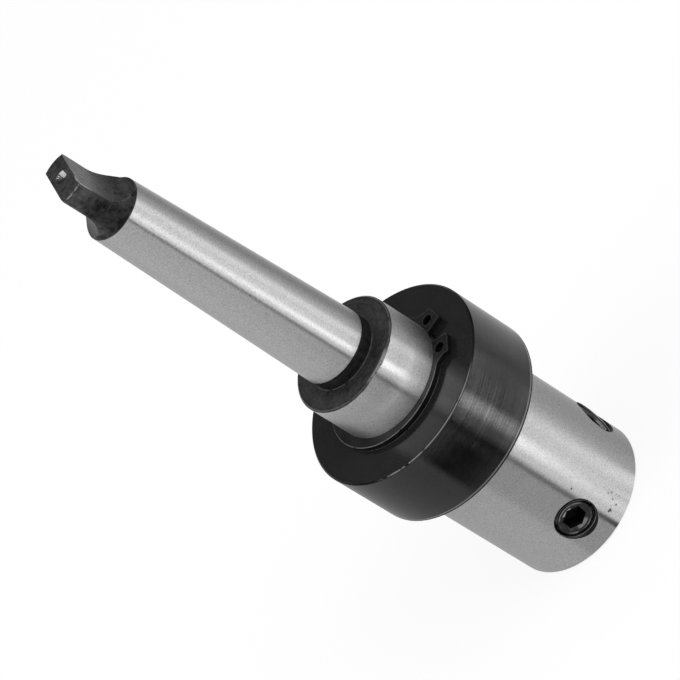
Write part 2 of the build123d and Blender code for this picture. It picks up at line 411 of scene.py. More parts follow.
# The clamp-screw holes. Their walls are painted dark as shade and made dull, starting just
# below the body's surface, and are looked for a little wider than the hole.
body_radius = 0.0185
screw_axis_z = 0.0107
screw_hole_radius = 0.00495
hole_margin = 0.001
hole_wall_depth = (0.00004, 0.00002)
hole_shade_grey = 0.035
hole_roughness = 0.45
# A painted highlight: the journal is lighter just above the coolant ring, on its front.
ring_top_z = 0.0604
journal_highlight_z = (0.0640, 0.0715)
journal_highlight_side = (0.45, 0.75)
# Scores, knocks and painted glints, each with its middle and its reach.
score_middle = (0.0167, 0.0080, 0.0058)
score_reach = 0.0062
score_places = [
    ((0.0177, 0.0053, 0.0046), 0.00045),
    ((0.0176, 0.0057, 0.0043), 0.00045),
    ((0.0177, 0.0052, 0.0170), 0.00030),
    ((0.0164, 0.0085, 0.0069), 0.00022),
    ((0.0167, 0.0080, 0.0051), 0.00020),
    ((0.0169, 0.0074, 0.0035), 0.00024),
]
knock_places = [((0.0067, -0.0005, 0.1577), 0.00042)]
painted_glint_places = [((-0.0015, 0.0007, 0.1576), 0.00095), ((-0.0019, -0.0010, 0.1576), 0.00095)]
# A rim's coverage past 1 leaves no gap in its line.
unbroken = 2.0


def new_group(name, inputs, outputs):
    """Node group with float sockets. Returns its tree, its input sockets and its output node."""
    group = bpy.data.node_groups.new(name, "ShaderNodeTree")
    for label, default in inputs.items():
        socket = group.interface.new_socket(label, in_out="INPUT", socket_type="NodeSocketFloat")
        socket.default_value = default
    for label in outputs:
        group.interface.new_socket(label, in_out="OUTPUT", socket_type="NodeSocketFloat")
    return group, group.nodes.new("NodeGroupInput").outputs, group.nodes.new("NodeGroupOutput").inputs


def place(tree, group, **values):
    """Puts a node group into a tree, with its inputs by name, and returns its outputs."""
    made = tree.nodes.new("ShaderNodeGroup")
    made.node_tree = group
    for key, value in values.items():
        socket = made.inputs[key.replace("_", " ")]
        if isinstance(value, bpy.types.NodeSocket):
            tree.links.new(value, socket)
        else:
            socket.default_value = value
    return made.outputs


def as_colour(tree, value):
    return add(tree, "ShaderNodeCombineColor", Red=value, Green=value, Blue=value).outputs[0]


def noise(tree, spot, scale, detail, roughness=0.5, distortion=0.0):
    made = add(tree, "ShaderNodeTexNoise", Vector=spot, Scale=scale, Detail=detail, Roughness=roughness)
    made.inputs["Distortion"].default_value = distortion
    return made.outputs[0]


def both_ways(tree, value, low, high):
    """A tone from -1 to 1."""
    return ramp(tree, value, low, high, -1.0, 1.0)


def patches_of(tree, scale, coverage):
    """1 in patches that take up more of a surface as the coverage rises, 0 between them."""
    cloud = noise(tree, object_place(tree), scale, detail=3.0, roughness=0.6)
    threshold = math_node(tree, "SUBTRACT", 0.75, product(tree, coverage, 0.5))
    return ramp(tree, math_node(tree, "SUBTRACT", cloud, threshold), -0.06, 0.06)


# Where a point lies on a turned piece: its radius, its height, the cosine and sine of its
# angle, and the distance that a lathe tool feeds along, which is the radius on a flat face.
turned_place, _, out = new_group("turned_place", {}, ["Radius", "Height", "Cosine", "Sine", "Feed", "Face"])
coordinate = add(turned_place, "ShaderNodeTexCoord").outputs
x, y, z = add(turned_place, "ShaderNodeSeparateXYZ", _0=coordinate["Object"]).outputs
upright = add(turned_place, "ShaderNodeSeparateXYZ", _0=coordinate["Normal"]).outputs[2]
steepness = math_node(turned_place, "ABSOLUTE", upright)
radius = length(turned_place, x, y)
on_face = ramp(turned_place, steepness, 0.6, 0.8)
turned_place.links.new(radius, out["Radius"])
turned_place.links.new(z, out["Height"])
turned_place.links.new(math_node(turned_place, "DIVIDE", x, radius), out["Cosine"])
turned_place.links.new(math_node(turned_place, "DIVIDE", y, radius), out["Sine"])
turned_place.links.new(blend(turned_place, on_face, z, radius), out["Feed"])
turned_place.links.new(on_face, out["Face"])

# Fine marks that run round a piece, as a tool or a grinding wheel leaves them. Tone is -1 to 1.
round_inputs = {"Spacing": 0.0002, "Wander": 2.0, "Detail": 3.0}
round_marks, given, out = new_group("round_marks", round_inputs, ["Tone"])
at = place(round_marks, turned_place)
steps = math_node(round_marks, "DIVIDE", at["Feed"], given["Spacing"])
across = product(round_marks, at["Cosine"], given["Wander"])
along = product(round_marks, at["Sine"], given["Wander"])
spot = add(round_marks, "ShaderNodeCombineXYZ", X=steps, Y=across, Z=along).outputs[0]
marks = add(round_marks, "ShaderNodeTexNoise", Vector=spot, Scale=1.0, Detail=given["Detail"], Roughness=0.65)
round_marks.links.new(both_ways(round_marks, marks.outputs[0], 0.25, 0.75), out["Tone"])

# Soft clouds and fine specks in a finish. Both tones are -1 to 1.
cloudy, given, out = new_group("cloudy", {"Cloud Scale": 150.0, "Speck Scale": 3500.0}, ["Clouds", "Specks"])
spot = object_place(cloudy)
clouds = add(cloudy, "ShaderNodeTexNoise", Vector=spot, Scale=given["Cloud Scale"], Detail=4.0, Roughness=0.6)
specks = add(cloudy, "ShaderNodeTexNoise", Vector=spot, Scale=given["Speck Scale"], Detail=2.0, Roughness=0.7)
cloudy.links.new(both_ways(cloudy, clouds.outputs[0], 0.3, 0.7), out["Clouds"])
cloudy.links.new(both_ways(cloudy, specks.outputs[0], 0.3, 0.7), out["Specks"])

# A line round a turned piece at a given radius and height, broken into patches, and strongest
# on the side that the angle gives. It marks rubbed wear, painted highlights and duller shine.
rim_inputs = {
    "Radius": 0.01,
    "Height": 0.0,
    "Width": 0.0003,
    "Patch Scale": 300.0,
    "Coverage": 0.5,
    "Side": 0.0,
    "Side Low": -2.0,
    "Side High": -1.5,
}
rim_line_mask, given, out = new_group("rim_line_mask", rim_inputs, ["Mask"])
at = place(rim_line_mask, turned_place)
off = math_node(rim_line_mask, "SUBTRACT", at["Radius"], given["Radius"])
up = math_node(rim_line_mask, "SUBTRACT", at["Height"], given["Height"])
distance = length(rim_line_mask, off, up)
line = ramp(rim_line_mask, math_node(rim_line_mask, "DIVIDE", distance, given["Width"]), 0.35, 1.0, 1.0, 0.0)
patch = patches_of(rim_line_mask, given["Patch Scale"], given["Coverage"])
facing = total(
    rim_line_mask,
    product(rim_line_mask, at["Cosine"], math_node(rim_line_mask, "COSINE", given["Side"])),
    product(rim_line_mask, at["Sine"], math_node(rim_line_mask, "SINE", given["Side"])),
)
side = ramp(rim_line_mask, facing, given["Side Low"], given["Side High"])
rim_line_mask.links.new(product(rim_line_mask, line, patch, side), out["Mask"])

# A mask along sharp edges, wherever the surface turns within a given width. It marks rubbed wear
# and painted highlights.
edge_inputs = {"Width": 0.0003, "Patch Scale": 400.0, "Coverage": 0.5}
edge_line_mask, given, out = new_group("edge_line_mask", edge_inputs, ["Mask"])
plain_normal = add(edge_line_mask, "ShaderNodeNewGeometry").outputs["Normal"]
round_normal = add(edge_line_mask, "ShaderNodeBevel", samples=8, Radius=given["Width"]).outputs[0]
same = add(edge_line_mask, "ShaderNodeVectorMath", operation="DOT_PRODUCT", _0=plain_normal, _1=round_normal)
bent = ramp(edge_line_mask, same.outputs["Value"], 0.80, 0.97, 1.0, 0.0)
patch = patches_of(edge_line_mask, given["Patch Scale"], given["Coverage"])
edge_line_mask.links.new(product(edge_line_mask, bent, patch), out["Mask"])


def largest(tree, *values):
    result = values[0]
    for value in values[1:]:
        result = math_node(tree, "MAXIMUM", result, value)
    return result


def varied(tree, level, *tones):
    """A level made lighter and darker by (tone, share) pairs."""
    change = 1.0
    for tone, share in tones:
        change = total(tree, change, product(tree, tone, share))
    return product(tree, change, level)


def distance_to(tree, middle):
    return add(
        tree, "ShaderNodeVectorMath", operation="DISTANCE", _0=object_place(tree), _1=middle
    ).outputs["Value"]


def spots(tree, places, specks, core, ragged):
    """1 in the core of each place's reach, falling to 0 at its edge, which specks make ragged."""
    found = 0.0
    for middle, reach in places:
        away = total(tree, distance_to(tree, middle), product(tree, specks, reach * ragged))
        found = largest(tree, found, ramp(tree, away, reach * core, reach, 1.0, 0.0))
    return found


def rim_mask(tree, rim, **wear):
    """A line round the rim of a given radius and height, for rubbed wear, painted highlights and duller
    shine.
    """
    return place(tree, rim_line_mask, Radius=rim[0], Height=rim[1], **wear)["Mask"]


def bump(tree, height, depth, edge=0.00003):
    """Relief from a height, on a surface whose edges catch the light as if slightly rounded."""
    rounded = add(tree, "ShaderNodeBevel", samples=6, Radius=edge).outputs[0]
    return add(tree, "ShaderNodeBump", Distance=depth, Height=height, Normal=rounded).outputs[0]


def surface(tree, **values):
    """Ends a material in one shader."""
    shader = add(tree, "ShaderNodeBsdfPrincipled", **values)
    add(tree, "ShaderNodeOutputMaterial", Surface=shader.outputs[0])


def tangent_round_axis(tree):
    return add(tree, "ShaderNodeTangent", direction_type="RADIAL", axis="Z").outputs[0]


ground_steel = new_material("ground_steel")
tree = ground_steel.node_tree
at = place(tree, turned_place)
x, y, z = object_xyz(tree)
marks = place(tree, round_marks, Spacing=grinding_spacing, Wander=1.5)["Tone"]
turning = place(tree, round_marks, Spacing=turning_spacing, Wander=0.8, Detail=2.0)["Tone"]
finish = place(tree, cloudy, Cloud_Scale=130.0, Speck_Scale=3200.0)
blots = place(tree, cloudy, Cloud_Scale=620.0, Speck_Scale=900.0)

# Where the bath's black stays: the tang, the neck and the shoulder, with wandering edges.
height = total(tree, at["Height"], product(tree, finish["Clouds"], black_wander))
tang_zone = ramp(tree, height, black_from_z - black_edge, black_from_z + black_edge)
neck_zone = product(
    tree,
    ramp(tree, height, neck_low_z - neck_low_edge, neck_low_z + neck_low_edge),
    ramp(tree, at["Height"], neck_top_z - black_edge, neck_top_z, 1.0, 0.0),
)
black_zone = largest(tree, tang_zone, neck_zone)

# The milling cutter's streaks run along the tang's flats and up their run-outs.
spot = add(
    tree,
    "ShaderNodeCombineXYZ",
    X=math_node(tree, "DIVIDE", x, streak_width),
    Y=math_node(tree, "DIVIDE", y, streak_length),
    Z=math_node(tree, "DIVIDE", z, streak_length),
).outputs[0]
streaks = both_ways(tree, noise(tree, spot, scale=1.0, detail=3.0, roughness=0.7), 0.3, 0.7)
streaks = product(tree, streaks, tang_zone, math_node(tree, "SUBTRACT", 1.0, at["Face"]))

# Where the black is rubbed off: the tang's near corner, the rim of its end with one knock, and a
# faint edge up its cone. The shoulder's rims carry painted highlights in bright steel's colour: a
# faint line round the outer rim, a patch of it towards the lens, and a broken line in the neck's
# corner. Two painted glints lie in the centre hole.
edges = place(tree, edge_line_mask, Width=0.0008, Coverage=0.78, Patch_Scale=700.0)["Mask"]
near_corner = product(
    tree,
    ramp(tree, x, *near_corner_x),
    ramp(tree, y, *near_corner_y),
    ramp(tree, z, *near_corner_z),
)
cone_edge = product(tree, ramp(tree, z, *cone_edge_z, 1.0, 0.0), 0.22)
rubbed = product(tree, edges, tang_zone, largest(tree, near_corner, cone_edge, 0.04))
near_end = rim_mask(
    tree,
    tang_end_rim,
    Width=0.00026,
    Coverage=0.50,
    Patch_Scale=2200.0,
    Side=math.radians(0),
    Side_Low=0.94,
    Side_High=0.97,
)
knocks = spots(tree, knock_places, blots["Specks"], core=0.6, ragged=0.6)
shoulder_highlight_patch = rim_mask(
    tree,
    journal_rim,
    Width=0.0007,
    Coverage=0.66,
    Patch_Scale=1100.0,
    Side=math.radians(19),
    Side_Low=0.93,
    Side_High=0.99,
)
shoulder_highlight_line = rim_mask(tree, journal_rim, Width=0.0003, Coverage=0.7, Patch_Scale=420.0)
neck_corner_highlight = rim_mask(
    tree,
    neck_corner,
    Width=0.00024,
    Coverage=0.62,
    Patch_Scale=500.0,
    Side=math.radians(-10),
    Side_Low=0.2,
    Side_High=0.5,
)
in_centre = product(
    tree,
    ramp(tree, at["Radius"], centre_radius - 0.0001, centre_radius, 1.0, 0.0),
    ramp(tree, z, *centre_hole_z),
)
wear_and_highlight = largest(
    tree,
    rubbed,
    product(tree, knocks, tang_zone, 0.8),
    product(tree, near_end, tang_zone, 0.45),
    product(tree, shoulder_highlight_patch, 0.40),
    product(tree, shoulder_highlight_line, 0.10),
    product(tree, neck_corner_highlight, 0.60),
    product(tree, in_centre, spots(tree, painted_glint_places, blots["Specks"], core=0.7, ragged=0.4)),
)


# Inside the two clamp-screw holes the steel is painted dark as shade, and made rougher.
def inside_hole(across_axis, along_axis):
    """1 inside the hole that runs out along one axis, for the other axis across it."""
    off = length(tree, math_node(tree, "SUBTRACT", z, screw_axis_z), across_axis)
    return product(
        tree,
        math_node(tree, "LESS_THAN", off, screw_hole_radius + hole_margin),
        ramp(tree, at["Radius"], *(body_radius - depth for depth in hole_wall_depth), 1.0, 0.0),
        math_node(tree, "GREATER_THAN", along_axis, 0.0),
    )


hole_wall_shade = largest(tree, inside_hole(y, x), inside_hole(x, y))

# Small dark scores in the ground body beside the first screw hole: a scatter that thins out
# from its middle, and a few larger ones.
scored = ramp(tree, distance_to(tree, score_middle), score_reach * 0.2, score_reach, 0.135, 0.0)
pits = noise(tree, object_place(tree), scale=1500.0, detail=1.0, distortion=1.6)
pits = ramp(tree, math_node(tree, "SUBTRACT", pits, scored), 0.150, 0.170, 1.0, 0.0)
pits = largest(tree, pits, spots(tree, score_places, blots["Specks"], core=0.6, ragged=0.5))

black = math_node(tree, "MULTIPLY", black_zone, math_node(tree, "SUBTRACT", 1.0, wear_and_highlight), clamp=True)
# Painted highlight on the journal's front, just above the coolant ring.
journal_highlight = product(
    tree,
    ramp(tree, z, *journal_highlight_z, 1.0, 0.0),
    math_node(tree, "GREATER_THAN", z, ring_top_z),
    ramp(tree, at["Cosine"], *journal_highlight_side),
)
steel_tone = varied(tree, steel_grey, (marks, 0.04), (finish["Specks"], 0.18), (pits, -0.8), (journal_highlight, 0.5))
steel_tone = blend(tree, hole_wall_shade, steel_tone, hole_shade_grey)
blotted = product(
    tree, blots["Clouds"], blend(tree, tang_zone, 0.35, 1.0), blend(tree, at["Face"], 1.0, 0.35)
)
black_tone = varied(
    tree,
    blend(tree, at["Face"], black_grey, black_face_grey),
    (finish["Clouds"], 0.30),
    (blotted, 0.40),
    (blots["Specks"], 0.30),
    (streaks, 0.60),
    (turning, 0.20),
)
bright_tone = blend(tree, wear_and_highlight, steel_tone, blend(tree, in_centre, wear_and_highlight_grey, 1.0))
black_wear_and_highlight = product(tree, black_zone, wear_and_highlight)
steel_rough = varied(tree, steel_roughness, (marks, 0.04), (finish["Specks"], 0.08))
steel_rough = blend(tree, black_wear_and_highlight, steel_rough, wear_and_highlight_roughness)
black_rough = varied(tree, black_roughness, (finish["Clouds"], 0.15), (blotted, 0.20), (streaks, 0.20))

# The black shines least on the tang's cone, in the neck's corner and on the shoulder's rim, and
# most on the upper flat towards the tip and in the scoop of the lower one.
dull = largest(
    tree,
    ramp(tree, z, *dull_cone_z, 0.35, 0.0),
    rim_mask(tree, neck_corner, Width=0.0008, Coverage=unbroken),
    rim_mask(tree, journal_rim, Width=0.0009, Coverage=unbroken),
)
bright_tip = ramp(tree, z, *bright_tip_z, 0.75, 2.3)
lower_scoop = ramp(tree, y, *lower_scoop_y, 2.2, 1.0)
shine_level = product(
    tree,
    black_specular,
    blend(tree, at["Face"], product(tree, bright_tip, lower_scoop), 2.0),
    blend(tree, dull, 1.0, 0.3),
)
black_shine = varied(
    tree, shine_level, (blotted, 0.35), (finish["Clouds"], 0.2), (turning, 0.25), (blots["Specks"], 0.25)
)
fine_relief = total(tree, product(tree, marks, 0.3), product(tree, finish["Specks"], 0.15))
black_relief = total(
    tree, product(tree, turning, 2.0), product(tree, streaks, 3.0), product(tree, blots["Specks"], 1.2)
)
surface(
    tree,
    Base_Color=as_colour(tree, blend(tree, black, bright_tone, black_tone)),
    Metallic=product(
        tree, math_node(tree, "SUBTRACT", 1.0, black), blend(tree, black_wear_and_highlight, 1.0, wear_and_highlight_metal_share)
    ),
    Roughness=blend(tree, black, blend(tree, hole_wall_shade, steel_rough, hole_roughness), black_rough),
    Specular_IOR_Level=blend(tree, black, 0.5, black_shine),
    Anisotropic=blend(tree, black, steel_anisotropy, 0.0),
    Anisotropic_Rotation=0.25,
    Tangent=tangent_round_axis(tree),
    Normal=bump(tree, blend(tree, black, fine_relief, black_relief), steel_relief),
)


def dress(node, material):
    """Gives a CAD solid its finish."""
    for place_on_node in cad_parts[node].material_slots:
        place_on_node.material = material


dress("arbor_body", ground_steel)


# The coolant ring: turned from bar and blackened, it stands still on the journal while the
# arbor turns in it, and brings coolant in through its port. Its front rim is rubbed bright, with
# a painted highlight strongest on the side towards the lens, and a painted highlight line runs
# round it above the back chamfer.
ring_grey = 0.0015
ring_face_grey = 0.0135
ring_roughness = 0.14
ring_face_roughness = 0.12
ring_specular = 0.80
ring_face_specular = 0.75
ring_chamfer_specular = 0.12
ring_anisotropy = 0.3
ring_relief = 0.000006
ring_marks_spacing = 0.00028
ring_broad_spacing = ring_marks_spacing * 9
ring_front_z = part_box("coolant_ring")[1].z
ring_back_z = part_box("coolant_ring")[0].z
ring_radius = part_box("coolant_ring")[1].x
ring_chamfer = 0.0004
chamfer_edge = 0.00002
back_line_rise = 0.00050
front_rim = (ring_radius - ring_chamfer / 2, ring_front_z - ring_chamfer / 2)
back_rim = (ring_radius, ring_back_z + ring_chamfer)
rub_and_highlight_side = math.radians(2)
# The tool's marks show most on the side that mirrors the strong panel.
comb_azimuth = math.radians(24)
comb_side_range = (0.93, 0.98)


def towards(tree, at, azimuth):
    """Cosine of the angle between a point on a turned piece and one direction round it."""
    return total(
        tree,
        product(tree, at["Cosine"], math.cos(azimuth)),
        product(tree, at["Sine"], math.sin(azimuth)),
    )


black_ring = new_material("blackened_ring")
tree = black_ring.node_tree
at = place(tree, turned_place)
marks = place(tree, round_marks, Spacing=ring_marks_spacing, Wander=0.6)["Tone"]
broad = place(tree, round_marks, Spacing=ring_broad_spacing, Wander=1.2, Detail=2.0)["Tone"]
finish = place(tree, cloudy, Cloud_Scale=90.0, Speck_Scale=2200.0)
# The front rim's line: rubbed bright, and a painted highlight strongest towards the lens.
front_line = rim_mask(
    tree,
    front_rim,
    Width=0.00019,
    Coverage=0.62,
    Patch_Scale=420.0,
    Side=rub_and_highlight_side,
    Side_Low=0.70,
    Side_High=0.92,
)
# A painted highlight line just above the back chamfer.
back_line = rim_mask(
    tree, (ring_radius, ring_back_z + ring_chamfer + back_line_rise), Width=0.00030, Coverage=0.80
)
back_shade = rim_mask(tree, back_rim, Width=0.00040, Coverage=unbroken)
wear_and_highlight = largest(tree, product(tree, front_line, 0.60), product(tree, back_line, 0.28))
on_chamfer = window(
    tree,
    at["Radius"],
    ring_radius - ring_chamfer,
    ring_radius - ring_chamfer + chamfer_edge,
    ring_radius - chamfer_edge,
    ring_radius - chamfer_edge / 2,
)
shine = blend(tree, at["Face"], ring_specular, ring_face_specular)
shine = blend(tree, on_chamfer, shine, ring_chamfer_specular)
shine = product(tree, shine, math_node(tree, "SUBTRACT", 1.0, back_shade))
comb_share = ramp(tree, towards(tree, at, comb_azimuth), *comb_side_range, 0.25, 1.0)
calm = product(tree, blend(tree, at["Face"], 1.0, 0.25), comb_share)
marks = product(tree, marks, calm)
broad = product(tree, broad, calm)
tone = varied(
    tree,
    blend(tree, at["Face"], ring_grey, ring_face_grey),
    (marks, 0.12),
    (broad, 0.06),
    (finish["Clouds"], 0.15),
    (finish["Specks"], 0.30),
)
rough = blend(tree, at["Face"], ring_roughness, ring_face_roughness)
surface(
    tree,
    Base_Color=as_colour(tree, blend(tree, wear_and_highlight, tone, wear_and_highlight_grey)),
    Metallic=product(tree, front_line, 0.60),
    Roughness=varied(tree, rough, (marks, 0.06), (finish["Clouds"], 0.10)),
    Specular_IOR_Level=varied(tree, shine, (marks, 0.35), (broad, 0.08), (finish["Specks"], 0.15)),
    Anisotropic=blend(tree, at["Face"], ring_anisotropy, 0.0),
    Anisotropic_Rotation=0.25,
    Tangent=tangent_round_axis(tree),
    Normal=bump(tree, total(tree, marks, product(tree, finish["Specks"], 0.4)), ring_relief),
)
dress("coolant_ring", black_ring)


# The thread of the coolant port: a pipe thread of 28 turns to the inch, tapped in the ring's
# wall after the ring was blackened, so that its steel is bright. A hose fitting screws into it.
cut_grey = 0.16
cut_roughness = 0.42
port_radius = 0.0044
port_pitch = 0.0254 / 28
port_thread_depth = 0.00035
port_inner_x = 0.0158
port_outer_x = 0.0231
port_z = (ring_front_z + ring_back_z) / 2
# A thread's ridge: half its width at the wall and at the crest, in pitches, the points in one
# turn, the points over which it rises at each end, and the least share of its height.
ridge_root_half = 0.42
ridge_crest_half = 0.07
ridge_points = 40
ridge_fade_points = 12
ridge_least_share = 0.05


def loft(name, rings):
    """Closed mesh through rings of equally many points, one after the other."""
    count = len(rings[0])
    points = [tuple(p) for ring in rings for p in ring]
    faces = []
    for i in range(len(rings) - 1):
        for k in range(count):
            n = (k + 1) % count
            faces.append((i * count + k, i * count + n, (i + 1) * count + n, (i + 1) * count + k))
    faces.append(tuple(range(count - 1, -1, -1)))
    faces.append(tuple((len(rings) - 1) * count + k for k in range(count)))
    mesh = bpy.data.meshes.new(name)
    mesh.from_pydata(points, [], faces)
    made = bpy.data.objects.new(name, mesh)
    scene.collection.objects.link(made)
    return made


def shade(piece, angle_deg):
    """Smooth shading that keeps edges sharper than the angle."""
    piece.data.polygons.foreach_set("use_smooth", [True] * len(piece.data.polygons))
    piece.data.set_sharp_from_angle(angle=math.radians(angle_deg))


def thread_ridge(name, wall_radius, depth, pitch, low, high, place_it):
    """Ridge of an internal thread on the wall of a hole along local Z, moved by place_it."""
    turns = (high - low) / pitch
    steps = int(turns * ridge_points)
    rings = []
    for i in range(steps + 1):
        angle = 2 * math.pi * i / ridge_points
        middle = low + pitch * i / ridge_points
        fade = min(1.0, i / ridge_fade_points, (steps - i) / ridge_fade_points)
        crest = wall_radius - depth * max(fade, ridge_least_share)
        section = [
            (wall_radius, -ridge_root_half),
            (crest, -ridge_crest_half),
            (crest, ridge_crest_half),
            (wall_radius, ridge_root_half),
        ]
        ring = []
        for r, s in section:
            z = min(max(middle + s * pitch, low), high)
            ring.append(place_it @ Vector((r * math.cos(angle), r * math.sin(angle), z)))
        rings.append(ring)
    ridge = loft(name, rings)
    shade(ridge, 30)
    return ridge


cut_steel = new_material("cut_steel")
tree = cut_steel.node_tree
finish = place(tree, cloudy, Cloud_Scale=300.0, Speck_Scale=4000.0)
surface(
    tree,
    Base_Color=as_colour(tree, varied(tree, cut_grey, (finish["Clouds"], 0.3), (finish["Specks"], 0.2))),
    Metallic=1.0,
    Roughness=varied(tree, cut_roughness, (finish["Specks"], 0.15)),
    Normal=bump(tree, finish["Specks"], 0.000004),
)

towards_port = Matrix.Translation((0, 0, port_z)) @ Matrix.Rotation(math.radians(-90), 4, "Y")
port_thread = thread_ridge(
    "coolant_port_thread",
    port_radius,
    port_thread_depth,
    port_pitch,
    port_inner_x,
    port_outer_x,
    towards_port,
)
port_thread.data.materials.append(cut_steel)
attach(port_thread, "coolant_ring")


# The two seals: moulded rubber rings of round section, one in each seal groove of the coolant
# ring's bore. They turn with the ring, and are wet and slightly shiny.
rubber_grey = 0.018
rubber_roughness = 0.45

seal_rubber = new_material("seal_rubber")
tree = seal_rubber.node_tree
finish = place(tree, cloudy, Cloud_Scale=200.0, Speck_Scale=5000.0)
surface(
    tree,
    Base_Color=as_colour(tree, varied(tree, rubber_grey, (finish["Clouds"], 0.3), (finish["Specks"], 0.2))),
    Roughness=varied(tree, rubber_roughness, (finish["Clouds"], 0.2)),
    Normal=bump(tree, finish["Specks"], 0.000008),
)
dress("lower_seal", seal_rubber)
dress("upper_seal", seal_rubber)


# The retaining rings: stamped from spring steel strip and dark from tempering, with edges
# rubbed bright and painted highlights on the edges, strongest towards one side; their side walls
# are painted darker as shade. The outer one snaps into the journal, the inner one into the chamber.
tempered_grey = 0.007
tempered_wall_shade_grey = 0.004
tempered_roughness = 0.32
tempered_edge = 0.00012
rubbed_and_highlight_grey = 0.40
highlight_azimuth = math.radians(-25)

spring_steel = new_material("spring_steel")
tree = spring_steel.node_tree
finish = place(tree, cloudy, Cloud_Scale=260.0, Speck_Scale=3000.0)
at = place(tree, turned_place)
# Edge wear all round, with painted highlights that grow towards one azimuth.
wear_and_highlight_share = ramp(tree, towards(tree, at, highlight_azimuth), 0.1, 0.6, 0.10, 0.75)
edges = place(tree, edge_line_mask, Width=0.00050, Coverage=0.75, Patch_Scale=420.0)["Mask"]
# Side walls painted darker than the flat faces, as shade.
tone = blend(tree, at["Face"], tempered_wall_shade_grey, tempered_grey)
tone = varied(tree, tone, (finish["Clouds"], 0.35), (finish["Specks"], 0.25))
surface(
    tree,
    Base_Color=as_colour(tree, blend(tree, product(tree, edges, wear_and_highlight_share), tone, rubbed_and_highlight_grey)),
    Roughness=varied(tree, tempered_roughness, (finish["Clouds"], 0.15), (finish["Specks"], 0.10)),
    Specular_IOR_Level=blend(tree, at["Face"], 0.30, 0.50),
    Normal=bump(tree, finish["Specks"], 0.000004, tempered_edge),
)
dress("retaining_ring", spring_steel)
dress("inner_retaining_ring", spring_steel)


# The ejector plunger: a turned steel disc with a spigot that centres its spring. It is left
# bright from the lathe, and a cutter's pilot pin pushes it up the chamber.
turned_grey = 0.36
turned_roughness = 0.30

turned_steel = new_material("turned_steel")
tree = turned_steel.node_tree
marks = place(tree, round_marks, Spacing=0.00025, Wander=0.5)["Tone"]
finish = place(tree, cloudy, Cloud_Scale=200.0, Speck_Scale=3000.0)
surface(
    tree,
    Base_Color=as_colour(tree, varied(tree, turned_grey, (marks, 0.10), (finish["Clouds"], 0.10))),
    Metallic=1.0,
    Roughness=varied(tree, turned_roughness, (marks, 0.20)),
    Normal=bump(tree, marks, 0.000004),
)
dress("ejector_plunger", turned_steel)


# The ejector spring: round wire, coiled right-handed, with closed ends ground flat. It
# stands between the plunger's shoulder and the roof of the chamber, and closes up there.
wire_radius = 0.0005
coil_radius = 0.0052
active_coils = 4.5
closed_coils = 1
# How much of its radius the wire keeps beyond its middle where an end turn is ground flat.
ground_share = 0.6
wire_grey = 0.20
wire_roughness = 0.34
# Points in one turn of the coil, and round the wire.
path_points = 48
section_points = 14
spring_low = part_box("ejector_spring")[0].z
spring_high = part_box("ejector_spring")[1].z

turns = active_coils + 2 * closed_coils
closed_rise = 2 * wire_radius
first = spring_low + wire_radius * ground_share
active_rise = spring_high - spring_low - wire_radius * 2 * ground_share - 2 * closed_rise
active_pitch = active_rise / active_coils
rings = []
for i in range(int(turns * path_points) + 1):
    turned = i / path_points
    angle = 2 * math.pi * turned
    rise = closed_rise * min(turned, closed_coils)
    rise += active_pitch * min(max(turned - closed_coils, 0), active_coils)
    rise += closed_rise * max(turned - closed_coils - active_coils, 0)
    ring = []
    for k in range(section_points):
        round_wire = 2 * math.pi * k / section_points
        r = coil_radius + wire_radius * math.cos(round_wire)
        height = first + rise + wire_radius * math.sin(round_wire)
        ring.append((r * math.cos(angle), r * math.sin(angle), min(max(height, spring_low), spring_high)))
    rings.append(ring)
spring = loft("ejector_spring_coils", rings)
shade(spring, 50)

spring_wire = new_material("spring_wire")
tree = spring_wire.node_tree
finish = place(tree, cloudy, Cloud_Scale=400.0, Speck_Scale=5000.0)
surface(
    tree,
    Base_Color=as_colour(tree, varied(tree, wire_grey, (finish["Clouds"], 0.25), (finish["Specks"], 0.15))),
    Metallic=1.0,
    Roughness=varied(tree, wire_roughness, (finish["Clouds"], 0.2)),
    Normal=bump(tree, finish["Specks"], 0.000004),
)
spring.data.materials.append(spring_wire)
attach(spring, "arbor")
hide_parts("ejector_spring")
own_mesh(spring)


# The clamp screws: M10 set screws with a hexagon socket and a cup point, rolled, hardened
# and blackened. They bear on the two flats of a cutter's shank.
screw_length = 0.008
screw_face_r = 0.0177
screw_grey = 0.010
screw_roughness = 0.30
screw_highlight_grey = 0.45
socket_shade_grey = 0.004
socket_roughness = 0.5
socket_specular = 0.12
thread_root_shade_grey = 0.04
thread_crest_highlight_grey = 0.45
thread_pitch = 0.0015
crest_radius = 0.00475
root_radius = 0.0042
flank_gain = 1.15
root_flat = 0.1
face_edge_radius = 0.00405
cup_radius = 0.00275
cup_tip_radius = 0.0003
hexagon_width = 0.005
hexagon_depth = 0.004
hexagon_turn = math.radians(55)
hexagon_lead_in = 0.0004
hexagon_mouth_radius = 0.0033
socket_tip_radius = 0.0002
socket_tip_depth = 0.0009
round_points = 72
screw_steps = 96
hole_thread_depth = 0.00014
hole_thread_run = (0.0098, 0.0182)
# Painted highlights: lines on the chamfer, each with its radius, half its width and its strength.
chamfer_highlight_lines = [(0.00388, 0.00022, 0.50), (0.00442, 0.00016, 0.40)]
# Painted highlights round the socket's mouth, in a band of distances from the screw's
# axis. Each mark has where it starts and where it is full, up or down, as a share of that
# distance, and its strength.
mouth_band = (0.0024, 0.0025, 0.0032, 0.0033)
mouth_highlights = [(0.88, 0.94, 1.0), (-0.80, -0.95, 0.45)]

